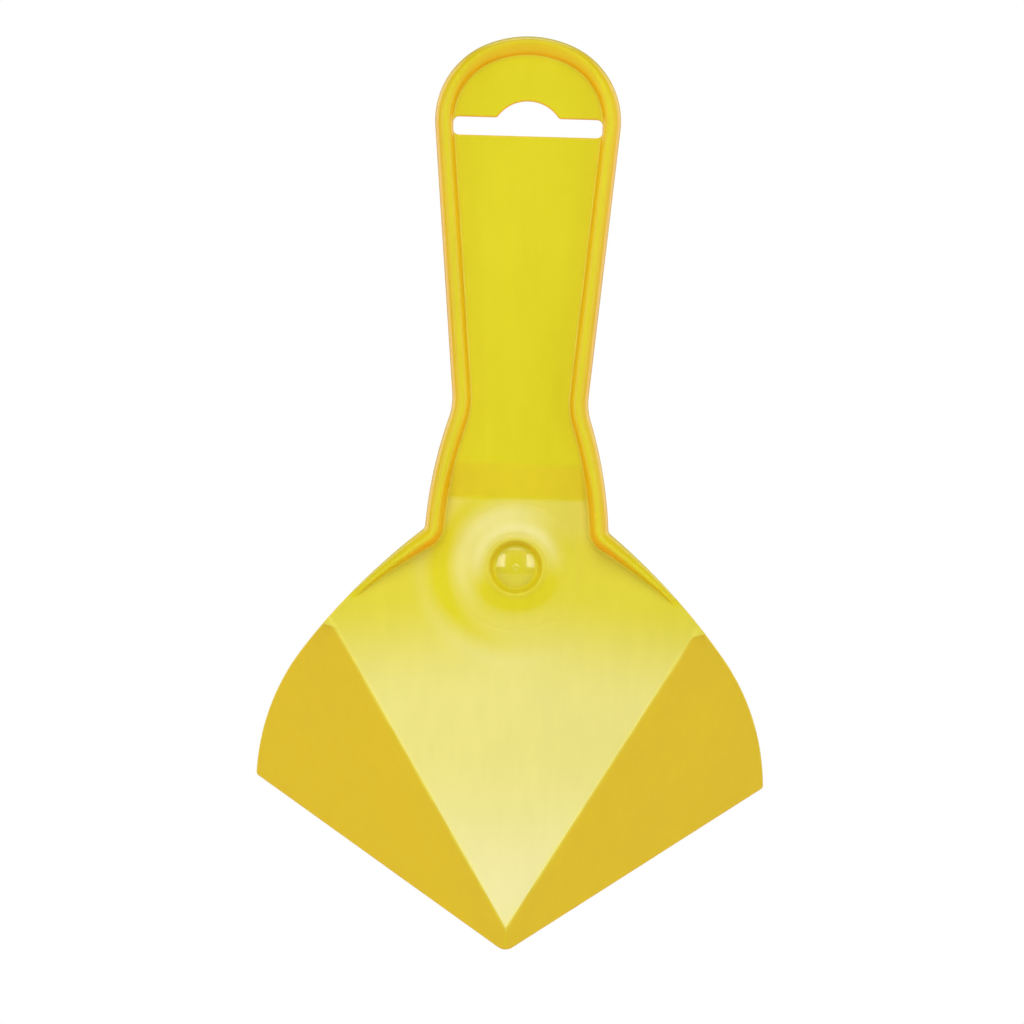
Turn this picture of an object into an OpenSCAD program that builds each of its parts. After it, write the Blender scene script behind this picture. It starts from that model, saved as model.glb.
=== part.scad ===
// Plastic inside-corner tool for painters: a ribbed handle with a hang slot, and a blade whose
// flat middle runs down to the tip between two folded-back wings.
// It is one moulding, drawn as the regions that a designer would name, which meet face to face.
// X runs across the tool, +Z runs up it from the tip to the head, and the front faces -Y.
// The origin is the middle of the hang slot's bar, halfway through the web.

/* [Overall] */
// Length from the tip to the top of the head
tool_length = 196.1; // [163:0.1:236]
// Width of the blade across the wing corners
fan_width = 110; // [91:0.5:132]
// Width of the head at its widest
head_width = 39.9; // [36:0.1:46]
// Width of the handle at the neck, its narrowest
neck_width = 29.2; // [24:0.1:35]
// Width that the flare reaches at the shoulders
shoulder_width = 39.7; // [37:0.1:48]

/* [Handle outline] */
// Height of the head's arch above its widest level
arch_rise = 18.1; // [15:0.1:19]
// Radius of the arch's crown
crown_r = 23.5; // [21.5:0.1:28]
// Height of the neck above the tip
neck_height = 118; // [112:0.5:130]
// Radius of the waist at the neck
neck_r = 13.5; // [10:0.5:18]
// Height above the tip at which the flare reaches its full width
flare_base = 84.8; // [80:0.2:90]
// Radius of the notch where each shoulder turns out along the blade
shoulder_r = 1.5; // [0.5:0.1:4]

/* [Rim] */
// Width of the bead that runs round the handle
rim_w = 4.3; // [3.2:0.1:5.2]
// Depth of the bead from front to back
rim_depth = 7.5; // [6.3:0.1:10]
// Distance from the outer edge to the bead's crest
rim_crest = 2.3; // [1.6:0.1:2.7]
// Length of the shoulder rib along the blade's upper edge
rib_length = 21; // [12:0.5:26]
// Width of the shoulder rib where it ends
rib_end_w = 1.5; // [1:0.1:3]
// How far the shoulder rib stands out of the blade where it ends
rib_end_rise = 0.25; // [0.1:0.05:1]

/* [Web] */
// Thickness of the web inside the rim
web_t = 2.4; // [1.8:0.1:3.2]
// Height above the tip at which the ramp meets the blade
ramp_base = 97; // [94:0.5:100]
// Length of the ramp up the tool
ramp_length = 7.5; // [4:0.5:9]
// Distance that the blade is set back from the web
ramp_drop = 2; // [1:0.1:2.4]

/* [Hang slot] */
// Distance from the top of the head to the middle of the slot's bar
slot_drop = 19.5; // [17:0.1:24]
// Width of the slot's bar
slot_w = 32; // [26:0.5:33]
// Height of the slot's bar
slot_h = 3.9; // [3:0.1:5]
// Radius of the bar's corners
slot_corner_r = 1.2; // [0.5:0.1:1.4]
// Width of the hook's notch in the middle of the bar
notch_w = 13.3; // [9:0.1:16]
// Height of the hook's notch above the bar
notch_h = 3.6; // [2:0.1:5]

/* [Blade] */
// Thickness of the middle panel and the wings
blade_t = 1.8; // [1.2:0.1:2.2]
// Angle from the tool's axis to each lower edge
tip_angle = 56.6; // [50:0.2:62]
// Radius of the tip
tip_r = 3; // [1:0.5:5]
// Radius of each wing's outer edge
wing_r = 49.2; // [44:0.2:60]
// How far the wing edge's widest level lies below the wing corner
wing_centre_drop = 1.4; // [0:0.1:4]
// Radius of each wing corner
wing_corner_r = 1; // [0.5:0.1:3]
// Angle above level at which the wing's edge opens into the flatter upper edge
edge_start = 36.7; // [32:0.1:42]
// Radius of the blade's upper edge
edge_r = 145; // [120:1:300]
// Height above the tip at which the two creases meet
crease_height = 4.7; // [3:0.1:8]
// Angle from the tool's axis to each crease
crease_angle = 31.15; // [28:0.05:34]
// Length of each crease
crease_length = 74.2; // [66:0.1:76]
// Rise of the wing's short top edge, above level
wing_top_angle = 15; // [0:1:25]
// Angle that each wing is folded back from the middle panel
fold_angle = 46.7; // [30:0.1:56]

/* [Gate boss] */
// Height of the gate boss above the tip
gate_height = 82.2; // [78:0.1:85]
// Radius of the boss
gate_r = 7.6; // [6.5:0.1:9]
// Radius of the well's mouth
well_r = 5.8; // [5:0.1:6.4]
// Radius of the button inside the well
button_r = 4.8; // [3.5:0.1:4.9]
// Depth of the well
well_depth = 1.2; // [0.6:0.1:1.6]
// Height of the button above the bottom of the well
button_h = 1; // [0.4:0.1:1.4]
// Height of the lip round the well
lip_h = 0.3; // [0.1:0.05:0.6]
// How far the boss stands out behind the blade
gate_pad = 0.7; // [0.4:0.1:1.2]

/* [Hidden] */

web_yellow = [0.87, 0.83, 0.14];
rim_yellow = [0.88, 0.80, 0.17];
panel_yellow = [0.91, 0.87, 0.42];
wing_yellow = [0.86, 0.74, 0.14];

over = 1;               // how far a cutter reaches past what it cuts
far = 200;              // longer than any cut needs
head_rim_tail = 6;      // how far the head's rim runs below the slot
crown_steps = 8;        // steps along each arc of the outline, from the crown to the tip
side_steps = 18;
waist_steps = 8;
flare_steps = 6;
ramp_steps = 4;
notch_steps = 8;
rib_steps = 10;
edge_steps = 8;
wing_steps = 20;
end_steps = 6;
bead_step = 15;         // angle between points round the bead's outer side
foot_step = 18;         // angle between points from the bead's crest to its foot
dome_steps = 8;         // steps from the middle of the button to its rim
facets = 96;            // sides of a full circle

slot_height = tool_length - slot_drop;
slot_top = slot_height + slot_h / 2;
head_rim_base = slot_height - slot_h / 2 - head_rim_tail;
ramp_top = ramp_base + ramp_length;
web_front = -web_t / 2;
web_back = web_t / 2;
blade_front = web_front + ramp_drop;
blade_back = blade_front + blade_t;
blade_mid = (blade_front + blade_back) / 2;
rim_front = -rim_depth / 2;
rim_back = rim_depth / 2;

function lerp(a, b, t) = a + (b - a) * t;
function along(angle) = [cos(angle), sin(angle)];
function bearing(from, to) = atan2(to[1] - from[1], to[0] - from[0]);
function steps(n) = [for (i = [0:n]) i / n];
function backwards(list) = [for (i = [len(list) - 1:-1:0]) list[i]];
function tail(list) = [for (i = [1:len(list) - 1]) list[i]];

// Where two circles cross, on the right of the way from a to b
function crossing(a, ra, b, rb) =
    let (d = norm(b - a), u = (b - a) / d, k = (d * d + ra * ra - rb * rb) / (2 * d))
    a + k * u + sqrt(ra * ra - k * k) * [u[1], -u[0]];

// The head: a crown arc over two side arcs, which are tangent to it
head_level = tool_length - arch_rise;
crown_centre = [0, tool_length - crown_r];
crown_drop = crown_r - arch_rise;
side_r = (pow(crown_r, 2) - pow(head_width / 2, 2) - pow(crown_drop, 2)) / (2 * crown_r - head_width);
side_centre = [head_width / 2 - side_r, head_level];
crown_end = bearing(crown_centre, side_centre);

// The neck: the waist's centre lies outside the handle, and the side line is tangent to both
neck_centre = [neck_width / 2 + neck_r, neck_height];
neck_way = neck_centre - side_centre;
side_taper = -bearing([0, 0], neck_way) - acos((side_r + neck_r) / norm(neck_way));
side_start = side_centre + side_r * along(-side_taper);
side_end = neck_centre - neck_r * along(-side_taper);

// The flare: an arc tangent to the waist that reaches the shoulder width at its own centre's level
flare_x = neck_centre[0] - shoulder_width / 2;
flare_r = (pow(flare_x, 2) + pow(neck_height - flare_base, 2) - pow(neck_r, 2)) / (2 * (neck_r - flare_x));
flare_centre = [shoulder_width / 2 - flare_r, flare_base];
flare_start = bearing(flare_centre, neck_centre);
ramp_top_angle = asin((ramp_top - flare_base) / (flare_r - rim_w));
ramp_base_angle = asin((ramp_base - flare_base) / (flare_r - rim_w));

// The blade's outline: lower edge, wing corner, wing arc and upper edge arc, each tangent to the next
tip_centre = [0, tip_r];
lower_way = [sin(tip_angle), cos(tip_angle)];
lower_out = along(-tip_angle);
lower_start = tip_centre + tip_r * lower_out;
corner_height = lower_start[1] + (fan_width / 2 - lower_start[0]) / tan(tip_angle);
wing_centre = [fan_width / 2 - wing_r, corner_height - wing_centre_drop];
corner_line = lower_start - wing_corner_r * lower_out;
corner_b = (corner_line - wing_centre) * lower_way;
corner_c = pow(norm(corner_line - wing_centre), 2) - pow(wing_r - wing_corner_r, 2);
corner_centre = corner_line + (-corner_b + sqrt(pow(corner_b, 2) - corner_c)) * lower_way;
corner_angle = bearing(wing_centre, corner_centre);
edge_centre = wing_centre + (wing_r - edge_r) * along(edge_start);
shoulder_centre = crossing(edge_centre, edge_r + shoulder_r, flare_centre, flare_r + shoulder_r);
shoulder_start = bearing(flare_centre, shoulder_centre);
shoulder_end = bearing(edge_centre, shoulder_centre);
rib_end = shoulder_end - rib_length / edge_r * 180 / PI;

// Points of an arc on the outline, each with the unit vector that points into the tool.
// side is 1 where the arc's centre lies inside the tool and -1 where it lies outside.
function arc(centre, r, from, to, n, side = 1) =
    [for (t = steps(n)) let (d = along(lerp(from, to, t))) [centre + r * d, -side * d]];

crown_arc = arc(crown_centre, crown_r, 90, crown_end, crown_steps);
side_arc = arc(side_centre, side_r, crown_end, -side_taper, side_steps);
side_in = -along(-side_taper);
side_share = (side_start[1] - head_rim_base) / (side_start[1] - side_end[1]);
side_break = lerp(side_start, side_end, side_share);
waist_arc = arc(neck_centre, neck_r, 180 - side_taper, 180 + flare_start, waist_steps, -1);
below_ramp_arc = arc(flare_centre, flare_r, ramp_base_angle, shoulder_start, ramp_steps);
flare_arc = concat(arc(flare_centre, flare_r, flare_start, ramp_top_angle, flare_steps),
                   tail(arc(flare_centre, flare_r, ramp_top_angle, ramp_base_angle, ramp_steps)),
                   tail(below_ramp_arc));
notch_arc = arc(shoulder_centre, shoulder_r, 180 + shoulder_start, 180 + shoulder_end, notch_steps, -1);
rib_arc = arc(edge_centre, edge_r, shoulder_end, rib_end, rib_steps);
upper_arc = arc(edge_centre, edge_r, rib_end, edge_start, edge_steps);
wing_arc = arc(wing_centre, wing_r, edge_start, corner_angle, wing_steps);
corner_arc = arc(corner_centre, wing_corner_r, corner_angle, -tip_angle, end_steps);
tip_arc = arc(tip_centre, tip_r, -tip_angle, -90, end_steps);

// A section of the bead: its place and inward way, its width, the front and back crests' levels,
// the level of its outermost point, and the levels between which it meets the web or the blade
function section(at, w = rim_w, front = rim_front, back = rim_back, mid = 0,
                 foot_front = web_front, foot_back = web_back) =
    [at[0], at[1], w, front, back, mid, foot_front, foot_back];
function foot(at, w = rim_w) = at[0] + w * at[1];
function mirrored(s) =
    concat([[-s[0][0], s[0][1]], [-s[1][0], s[1][1]]], [for (i = [2:len(s) - 1]) s[i]]);

// How far down the ramp a height is, from 0 on the web to 1 on the blade
function down_ramp(height) = max(0, min(1, (ramp_top - height) / ramp_length));
function ramp_section(at) =
    let (t = down_ramp(foot(at)[1]))
    section(at, foot_front = lerp(web_front, blade_front, t), foot_back = lerp(web_back, blade_back, t));
function rib_section(at, t) =
    section(at, lerp(rim_w, rib_end_w, t), lerp(rim_front, blade_front - rib_end_rise, t),
            lerp(rim_back, blade_back + rib_end_rise, t), lerp(0, blade_mid, t), blade_front, blade_back);

right_head = concat([for (at = crown_arc) section(at)], [for (at = tail(side_arc)) section(at)],
                    [section([side_break, side_in])]);
left_head = [for (s = right_head) mirrored(s)];
handle_sections = [section([side_break, side_in]), section([side_end, side_in])];
neck_sections = concat([for (at = waist_arc) section(at)], [for (at = tail(flare_arc)) ramp_section(at)]);
rib_at = concat(notch_arc, tail(rib_arc));
rib_sections = [for (i = [0:len(rib_at) - 1]) rib_section(rib_at[i], max(0, (i - notch_steps) / rib_steps))];

// The bead's outline at a section: round outside, falling from each crest to the foot inside
function bead_points(s) =
    let (crest = rim_crest * s[2] / rim_w)
    concat([for (a = [-90:bead_step:90])
                [crest * (1 - cos(a)), a > 0 ? lerp(s[5], s[3], sin(a)) : lerp(s[5], s[4], -sin(a))]],
           [for (b = [foot_step:foot_step:90]) [lerp(crest, s[2], sin(b)), lerp(s[6], s[3], cos(b))]],
           [for (b = [90:-foot_step:foot_step]) [lerp(crest, s[2], sin(b)), lerp(s[7], s[4], cos(b))]]);

module bead(sections) {
    rings = [for (s = sections) [for (p = bead_points(s))
                let (at = s[0] + p[0] * s[1]) [at[0], p[1], at[1]]]];
    m = len(rings[0]);
    n = len(rings);
    polyhedron([for (ring = rings) each ring],
               concat([[for (j = [0:m - 1]) j]],
                      [for (i = [0:n - 2], j = [0:m - 1])
                          let (k = (j + 1) % m) [i * m + j, (i + 1) * m + j, (i + 1) * m + k]],
                      [for (i = [0:n - 2], j = [0:m - 1])
                          let (k = (j + 1) % m) [i * m + j, (i + 1) * m + k, i * m + k]],
                      [[for (j = [m - 1:-1:0]) (n - 1) * m + j]]));
}

// Puts what is drawn above the tip into the tool's own frame
module placed() {
    translate([0, 0, -slot_height])
        children();
}

// Draws a flat shape, in X and height, as a plate between two levels of Y
module plate(front, back) {
    translate([0, back, 0])
        rotate([90, 0, 0])
            linear_extrude(back - front)
                children();
}

// A symmetric polygon from the points of its right side
module mirrored_polygon(points) {
    polygon(concat(points, backwards([for (p = points) if (p[0] > 0) [-p[0], p[1]]])));
}

module band(bottom, top) {
    translate([-far / 2, -far / 2, bottom])
        cube([far, far, top - bottom]);
}

// Everything inside the rim, from the crown down to the shoulders
module web_outline() {
    mirrored_polygon([for (at = concat(crown_arc, tail(side_arc), waist_arc, tail(flare_arc))) foot(at)]);
}

// The blade, from the foot of the ramp down to the tip
module blade_outline() {
    flare_foot = [for (at = below_ramp_arc) foot(at)];
    rib_foot = [for (s = tail(rib_sections)) foot(s, s[2])];
    edge = [for (at = concat(upper_arc, tail(wing_arc), tail(corner_arc), tip_arc)) at[0]];
    mirrored_polygon(concat(flare_foot, rib_foot, edge));
}

module slot() {
    notch_r = (pow(notch_w / 2, 2) + pow(notch_h, 2)) / (2 * notch_h);
    plate(rim_front - over, rim_back + over) {
        translate([-slot_w / 2 + slot_corner_r, slot_height - slot_h / 2])
            square([slot_w - 2 * slot_corner_r, slot_h]);
        translate([-slot_w / 2, slot_height - slot_h / 2 + slot_corner_r])
            square([slot_w, slot_h - 2 * slot_corner_r]);
        for (x = [-1, 1], z = [-1, 1])
            translate([x * (slot_w / 2 - slot_corner_r), slot_height + z * (slot_h / 2 - slot_corner_r)])
                circle(slot_corner_r, $fn = facets);
        intersection() {
            translate([0, slot_top + notch_h - notch_r])
                circle(notch_r, $fn = facets);
            translate([-notch_w, slot_height])
                square([2 * notch_w, slot_h + notch_h]);
        }
    }
}

// The crease's own frame: local Z runs up the right crease, local X outwards and local Y to the back
module at_crease() {
    translate([0, blade_front, crease_height])
        rotate([0, crease_angle, 0])
            children();
}

// All that lies beyond the right crease's mitre plane and below the wing's top edge
module wing_zone() {
    up = [sin(crease_angle), cos(crease_angle)];
    out = [cos(crease_angle), -sin(crease_angle)];
    top_way = along(wing_top_angle);
    inset = 2 * blade_t;
    crease_top = [0, crease_height] + crease_length * up;
    intersection() {
        plate(-far / 2, far / 2)
            polygon([[0, -far / 2],
                     [0, crease_height + inset / sin(crease_angle)],
                     crease_top - top_way * inset / (top_way * out),
                     crease_top + far * top_way,
                     [far, -far / 2]]);
        at_crease()
            rotate([0, 0, fold_angle / 2])
                translate([0, -far, -far])
                    cube([2 * far, 2 * far, 2 * far]);
    }
}

module wing() {
    intersection() {
        plate(blade_front - over, far / 2)
            blade_outline();
        wing_zone();
        at_crease()
            rotate([0, 0, fold_angle])
                translate([-far, 0, -far])
                    cube([2 * far, blade_t, 2 * far]);
    }
}

// Sub-parts

module head_web() {
    color(web_yellow)
        placed()
            difference() {
                intersection() {
                    plate(web_front, web_back)
                        web_outline();
                    band(slot_height, tool_length);
                }
                slot();
            }
}

module handle_web() {
    color(web_yellow)
        placed()
            difference() {
                intersection() {
                    plate(web_front, web_back)
                        web_outline();
                    band(ramp_top, slot_height);
                }
                slot();
            }
}

module neck_ramp() {
    color(web_yellow)
        placed()
            intersection() {
                plate(rim_front, rim_back)
                    web_outline();
                translate([-far / 2, 0, 0])
                    rotate([90, 0, 90])
                        linear_extrude(far)
                            polygon([[web_front, ramp_top], [blade_front, ramp_base],
                                     [blade_back, ramp_base], [web_back, ramp_top]]);
            }
}

module blade_panel() {
    color(panel_yellow)
        placed()
            difference() {
                plate(blade_front, blade_back)
                    blade_outline();
                wing_zone();
                mirror([1, 0, 0])
                    wing_zone();
                translate([0, blade_back + over, gate_height])
                    rotate([90, 0, 0])
                        cylinder(h = blade_t + 2 * over, r = gate_r, $fn = facets);
            }
}

module gate_boss() {
    dome = [for (t = steps(dome_steps)) [button_r * t, button_h * (1 - t * t) - well_depth]];
    color(panel_yellow)
        placed()
            translate([0, blade_front, gate_height])
                rotate([90, 0, 0])
                    rotate_extrude($fn = facets)
                        polygon(concat(dome,
                                       [[well_r, 0], [(well_r + gate_r) / 2, lip_h], [gate_r, 0],
                                        [gate_r, -blade_t - gate_pad], [0, -blade_t - gate_pad]]));
}

module left_wing() {
    color(wing_yellow)
        placed()
            mirror([1, 0, 0])
                wing();
}

module right_wing() {
    color(wing_yellow)
        placed()
            wing();
}

module head_rim() {
    color(rim_yellow)
        placed()
            difference() {
                bead(concat(backwards(tail(left_head)), right_head));
                slot();
            }
}

module left_handle_rim() {
    color(rim_yellow)
        placed()
            mirror([1, 0, 0])
                bead(handle_sections);
}

module right_handle_rim() {
    color(rim_yellow)
        placed()
            bead(handle_sections);
}

module left_neck_rim() {
    color(rim_yellow)
        placed()
            mirror([1, 0, 0])
                bead(neck_sections);
}

module right_neck_rim() {
    color(rim_yellow)
        placed()
            bead(neck_sections);
}

module left_shoulder_rib() {
    color(rim_yellow)
        placed()
            mirror([1, 0, 0])
                bead(rib_sections);
}

module right_shoulder_rib() {
    color(rim_yellow)
        placed()
            bead(rib_sections);
}

head_web();
handle_web();
neck_ramp();
blade_panel();
gate_boss();
left_wing();
right_wing();
head_rim();
left_handle_rim();
right_handle_rim();
left_neck_rim();
right_neck_rim();
left_shoulder_rib();
right_shoulder_rib();
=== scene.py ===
import math

import bpy
import numpy as np
from mathutils import Matrix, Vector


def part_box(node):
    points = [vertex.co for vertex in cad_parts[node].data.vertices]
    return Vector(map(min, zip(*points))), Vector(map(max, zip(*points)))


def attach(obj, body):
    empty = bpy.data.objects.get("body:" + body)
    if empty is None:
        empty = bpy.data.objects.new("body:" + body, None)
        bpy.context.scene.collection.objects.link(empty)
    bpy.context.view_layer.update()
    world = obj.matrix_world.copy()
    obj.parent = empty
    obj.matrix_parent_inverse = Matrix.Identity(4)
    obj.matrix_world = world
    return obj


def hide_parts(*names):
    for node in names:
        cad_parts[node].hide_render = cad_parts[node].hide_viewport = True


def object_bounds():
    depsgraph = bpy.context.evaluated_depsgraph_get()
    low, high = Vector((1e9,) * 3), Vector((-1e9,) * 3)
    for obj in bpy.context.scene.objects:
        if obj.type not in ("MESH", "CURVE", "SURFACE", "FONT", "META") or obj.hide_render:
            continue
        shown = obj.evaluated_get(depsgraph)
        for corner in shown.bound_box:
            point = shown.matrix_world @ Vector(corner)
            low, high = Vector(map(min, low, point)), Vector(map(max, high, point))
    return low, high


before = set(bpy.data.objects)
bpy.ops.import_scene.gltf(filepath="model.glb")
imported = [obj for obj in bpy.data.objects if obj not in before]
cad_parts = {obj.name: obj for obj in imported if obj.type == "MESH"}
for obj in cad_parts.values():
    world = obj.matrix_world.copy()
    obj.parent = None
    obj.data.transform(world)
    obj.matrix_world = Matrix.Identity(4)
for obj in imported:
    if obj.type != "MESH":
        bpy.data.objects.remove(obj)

cadBounds = [list(corner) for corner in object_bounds()]


# Lowest and highest corner of a CAD node, in millimetres
def cornersOf(node):
    low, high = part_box(node)
    return np.array(low) * 1000, np.array(high) * 1000


rimLow, rimHigh = cornersOf("head_rim")
webLow, webHigh = cornersOf("head_web")
rampLow, rampHigh = cornersOf("neck_ramp")
panelLow, panelHigh = cornersOf("blade_panel")
bossLow, bossHigh = cornersOf("gate_boss")
tipZ = cornersOf("right_wing")[0][2]  # every height below is above this level

# The outline of the tool, in millimetres and degrees
outline = {
    "length": rimHigh[2] - tipZ,
    "headWidth": 39.9,
    "archRise": 18.1,
    "crownRadius": 23.5,
    "neckWidth": 29.2,
    "neckHeight": 118.0,
    "neckRadius": 13.5,
    "flareBase": 84.8,
    "shoulderWidth": 39.7,
    "shoulderRadius": 1.5,
    "fanWidth": 110.0,
    "tipAngle": 56.6,
    "tipRadius": 3.0,
    "wingRadius": 49.2,
    "wingCentreDrop": 1.4,
    "cornerRadius": 1.0,
    "edgeStart": 36.7,
    "edgeRadius": 145.0,
    "ribLength": 21.0,
    "step": 0.6,  # distance between points along the outline, and along the blade's part
    "bladeStep": 0.4,
    "wingStep": 0.5,
    "cornerStep": 0.12,
    "tipStep": 0.2,
    "shoulderCount": 22,
}


# The unit vector at an angle in radians, and the angle of a vector
def towards(angle):
    return np.array([math.cos(angle), math.sin(angle)])


def angleOf(vector):
    return math.atan2(vector[1], vector[0])


# Points on an arc and the unit vectors that point into the tool; side is -1 where the
# arc's centre lies outside the tool
def arcPoints(centre, radius, start, end, side=1, step=outline["step"], count=None):
    count = count or max(3, math.ceil(abs(end - start) * radius / step) + 1)
    angle = np.linspace(start, end, count)
    out = np.stack([np.cos(angle), np.sin(angle)], -1)
    return centre + radius * out, -side * out


# Points on a straight part of the outline
def linePoints(start, end, inward, step=outline["step"]):
    count = max(2, math.ceil(np.linalg.norm(end - start) / step) + 1)
    share = np.linspace(0, 1, count)[:, None]
    return start + (end - start) * share, np.repeat([inward], count, 0)


# Joins parts of the outline, each starting where the last one ends, and notes the
# first and last index of each part
def joined(parts):
    points, inward, marks, count = [], [], {}, 0
    for name, (partPoints, partInward) in parts:
        skip = 1 if count else 0
        points.append(partPoints[skip:])
        inward.append(partInward[skip:])
        marks[name] = (max(count - 1, 0), count + len(partPoints) - skip - 1)
        count += len(partPoints) - skip
    return np.concatenate(points), np.concatenate(inward), marks


slot = {
    "height": -tipZ,
    "halfWidth": 16.0,
    "halfHeight": 1.95,
    "cornerRadius": 1.2,
    "notchHalfWidth": 6.65,
    "notchHeight": 3.6,
    "notchFillet": 0.7,
    "edgeRadius": 0.45,
    "fineReach": 2.8,  # how far from the slot the outline is sampled finely
    "fineStep": 0.09,
    "roundStep": 0.05,  # distances between points round its corners, the notch and its edges
    "notchStep": 0.1,
    "lineStep": 0.3,
}
bead = {
    "width": 4.3,
    "crest": 2.3,
    "crownShift": 1.1,  # round the head's top the crest lies further out,
    "crownSlope": 0.6,  # and the inner side is more of a plain slope
    "crownReach": 8,
    "front": rimLow[1],
    "back": rimHigh[1],
    "foot": 0.5,
    "footShare": 0.4,  # the most of the bead's height that the foot's fillet takes
    "endWidth": 1.5,
    "endRise": 0.35,
    "endBlend": 2.5,
    "plainTurn": 0.35,  # at the rib's end, where along the section the plate's plain edge
    "plainFlat": 0.8,  # starts to turn, and where it is flat
    "outerStep": 7.5,  # degrees between the section's points
    "innerStep": 9,
    "footStep": 15,
    "headBase": rimLow[2] - tipZ,
}
ramp = {
    "top": rampHigh[2] - tipZ,
    "base": rampLow[2] - tipZ,
    "round": 0.8,
    "columns": 40,
}

o = outline
crownCentre = np.array([0, o["length"] - o["crownRadius"]])
crownDrop = o["crownRadius"] - o["archRise"]
headHalf = o["headWidth"] / 2
sideRadius = o["crownRadius"] ** 2 - headHalf**2 - crownDrop**2
sideRadius /= 2 * (o["crownRadius"] - headHalf)
sideCentre = np.array([headHalf - sideRadius, o["length"] - o["archRise"]])
crownEnd = angleOf(sideCentre - crownCentre)

neckCentre = np.array([o["neckWidth"] / 2 + o["neckRadius"], o["neckHeight"]])
neckWay = neckCentre - sideCentre
neckShare = (sideRadius + o["neckRadius"]) / np.linalg.norm(neckWay)
taper = -angleOf(neckWay) - math.acos(neckShare)
sideStart = sideCentre + sideRadius * towards(-taper)
sideEnd = neckCentre - o["neckRadius"] * towards(-taper)
sideInward = -towards(-taper)


# The point of the straight side at a height
def sideAt(height):
    share = (sideStart[1] - height) / (sideStart[1] - sideEnd[1])
    return sideStart + (sideEnd - sideStart) * share


flareX = neckCentre[0] - o["shoulderWidth"] / 2
flareRise = o["neckHeight"] - o["flareBase"]
flareRadius = flareX**2 + flareRise**2 - o["neckRadius"] ** 2
flareRadius /= 2 * (o["neckRadius"] - flareX)
flareCentre = np.array([o["shoulderWidth"] / 2 - flareRadius, o["flareBase"]])
flareStart = angleOf(neckCentre - flareCentre)


# The flare's angle at which the bead's foot is at a height
def flareAngle(height):
    return math.asin((height - o["flareBase"]) / (flareRadius - bead["width"]))


tipAngle = math.radians(o["tipAngle"])
tipCentre = np.array([0, o["tipRadius"]])
lowerWay = np.array([math.sin(tipAngle), math.cos(tipAngle)])
lowerOut = towards(-tipAngle)
lowerStart = tipCentre + o["tipRadius"] * lowerOut
cornerHeight = lowerStart[1] + (o["fanWidth"] / 2 - lowerStart[0]) / math.tan(tipAngle)
wingCentre = np.array([o["fanWidth"] / 2 - o["wingRadius"], cornerHeight - o["wingCentreDrop"]])
cornerLine = lowerStart - o["cornerRadius"] * lowerOut
cornerB = (cornerLine - wingCentre) @ lowerWay
cornerC = (cornerLine - wingCentre) @ (cornerLine - wingCentre)
cornerC -= (o["wingRadius"] - o["cornerRadius"]) ** 2
cornerCentre = cornerLine + (-cornerB + math.sqrt(cornerB**2 - cornerC)) * lowerWay
cornerAngle = angleOf(cornerCentre - wingCentre)
edgeStart = math.radians(o["edgeStart"])
edgeCentre = wingCentre + (o["wingRadius"] - o["edgeRadius"]) * towards(edgeStart)


# Where two circles cross, on the right of the way from the first centre to the second
def crossing(first, firstRadius, second, secondRadius):
    gap = np.linalg.norm(second - first)
    way = (second - first) / gap
    share = (gap**2 + firstRadius**2 - secondRadius**2) / (2 * gap)
    aside = math.sqrt(firstRadius**2 - share**2)
    return first + share * way + aside * np.array([way[1], -way[0]])


shoulderCentre = crossing(
    edgeCentre,
    o["edgeRadius"] + o["shoulderRadius"],
    flareCentre,
    flareRadius + o["shoulderRadius"],
)
shoulderStart = angleOf(shoulderCentre - flareCentre)
shoulderEnd = angleOf(shoulderCentre - edgeCentre)
ribEnd = shoulderEnd - o["ribLength"] / o["edgeRadius"]

# The outline's right half, from the middle of the head's arch down to the rib's end
fineTop, fineEnd = (slot["height"] + way * slot["fineReach"] for way in (1, -1))
fineAngle = math.asin((fineTop - sideCentre[1]) / sideRadius)
slotTop, slotEnd, handleTop = sideStart, sideAt(fineEnd), sideAt(bead["headBase"])
sideArc, flareArc = (sideCentre, sideRadius), (flareCentre, flareRadius)
neckArc, shoulderArc = (neckCentre, o["neckRadius"]), (shoulderCentre, o["shoulderRadius"])
edgeArc = (edgeCentre, o["edgeRadius"])
topTurn, baseTurn = flareAngle(ramp["top"]), flareAngle(ramp["base"])
waistTurns = (math.pi - taper, math.pi + flareStart)
notchTurns = (math.pi + shoulderStart, math.pi + shoulderEnd)
bladeStep = o["bladeStep"]
rightPoints, rightInward, marks = joined(
    [
        ("crown", arcPoints(crownCentre, o["crownRadius"], math.pi / 2, crownEnd)),
        ("side", arcPoints(*sideArc, crownEnd, fineAngle)),
        ("slotArc", arcPoints(*sideArc, fineAngle, -taper, step=slot["fineStep"])),
        ("slotLine", linePoints(slotTop, slotEnd, sideInward, slot["fineStep"])),
        ("headTail", linePoints(slotEnd, handleTop, sideInward)),
        ("handle", linePoints(handleTop, sideEnd, sideInward)),
        ("waist", arcPoints(*neckArc, *waistTurns, -1, bladeStep)),
        ("flare", arcPoints(*flareArc, flareStart, topTurn)),
        ("ramp", arcPoints(*flareArc, topTurn, baseTurn, step=bladeStep)),
        ("below", arcPoints(*flareArc, baseTurn, shoulderStart, step=bladeStep)),
        ("notch", arcPoints(*shoulderArc, *notchTurns, -1, count=o["shoulderCount"])),
        ("rib", arcPoints(*edgeArc, shoulderEnd, ribEnd, step=bladeStep)),
    ]
)
rightCount = len(rightPoints)
mirrorX = np.array([-1, 1])
rimPoints = np.concatenate([rightPoints[:0:-1] * mirrorX, rightPoints])
rimInward = np.concatenate([rightInward[:0:-1] * mirrorX, rightInward])
print("outline: %d points round the rim" % len(rimPoints))

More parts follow.
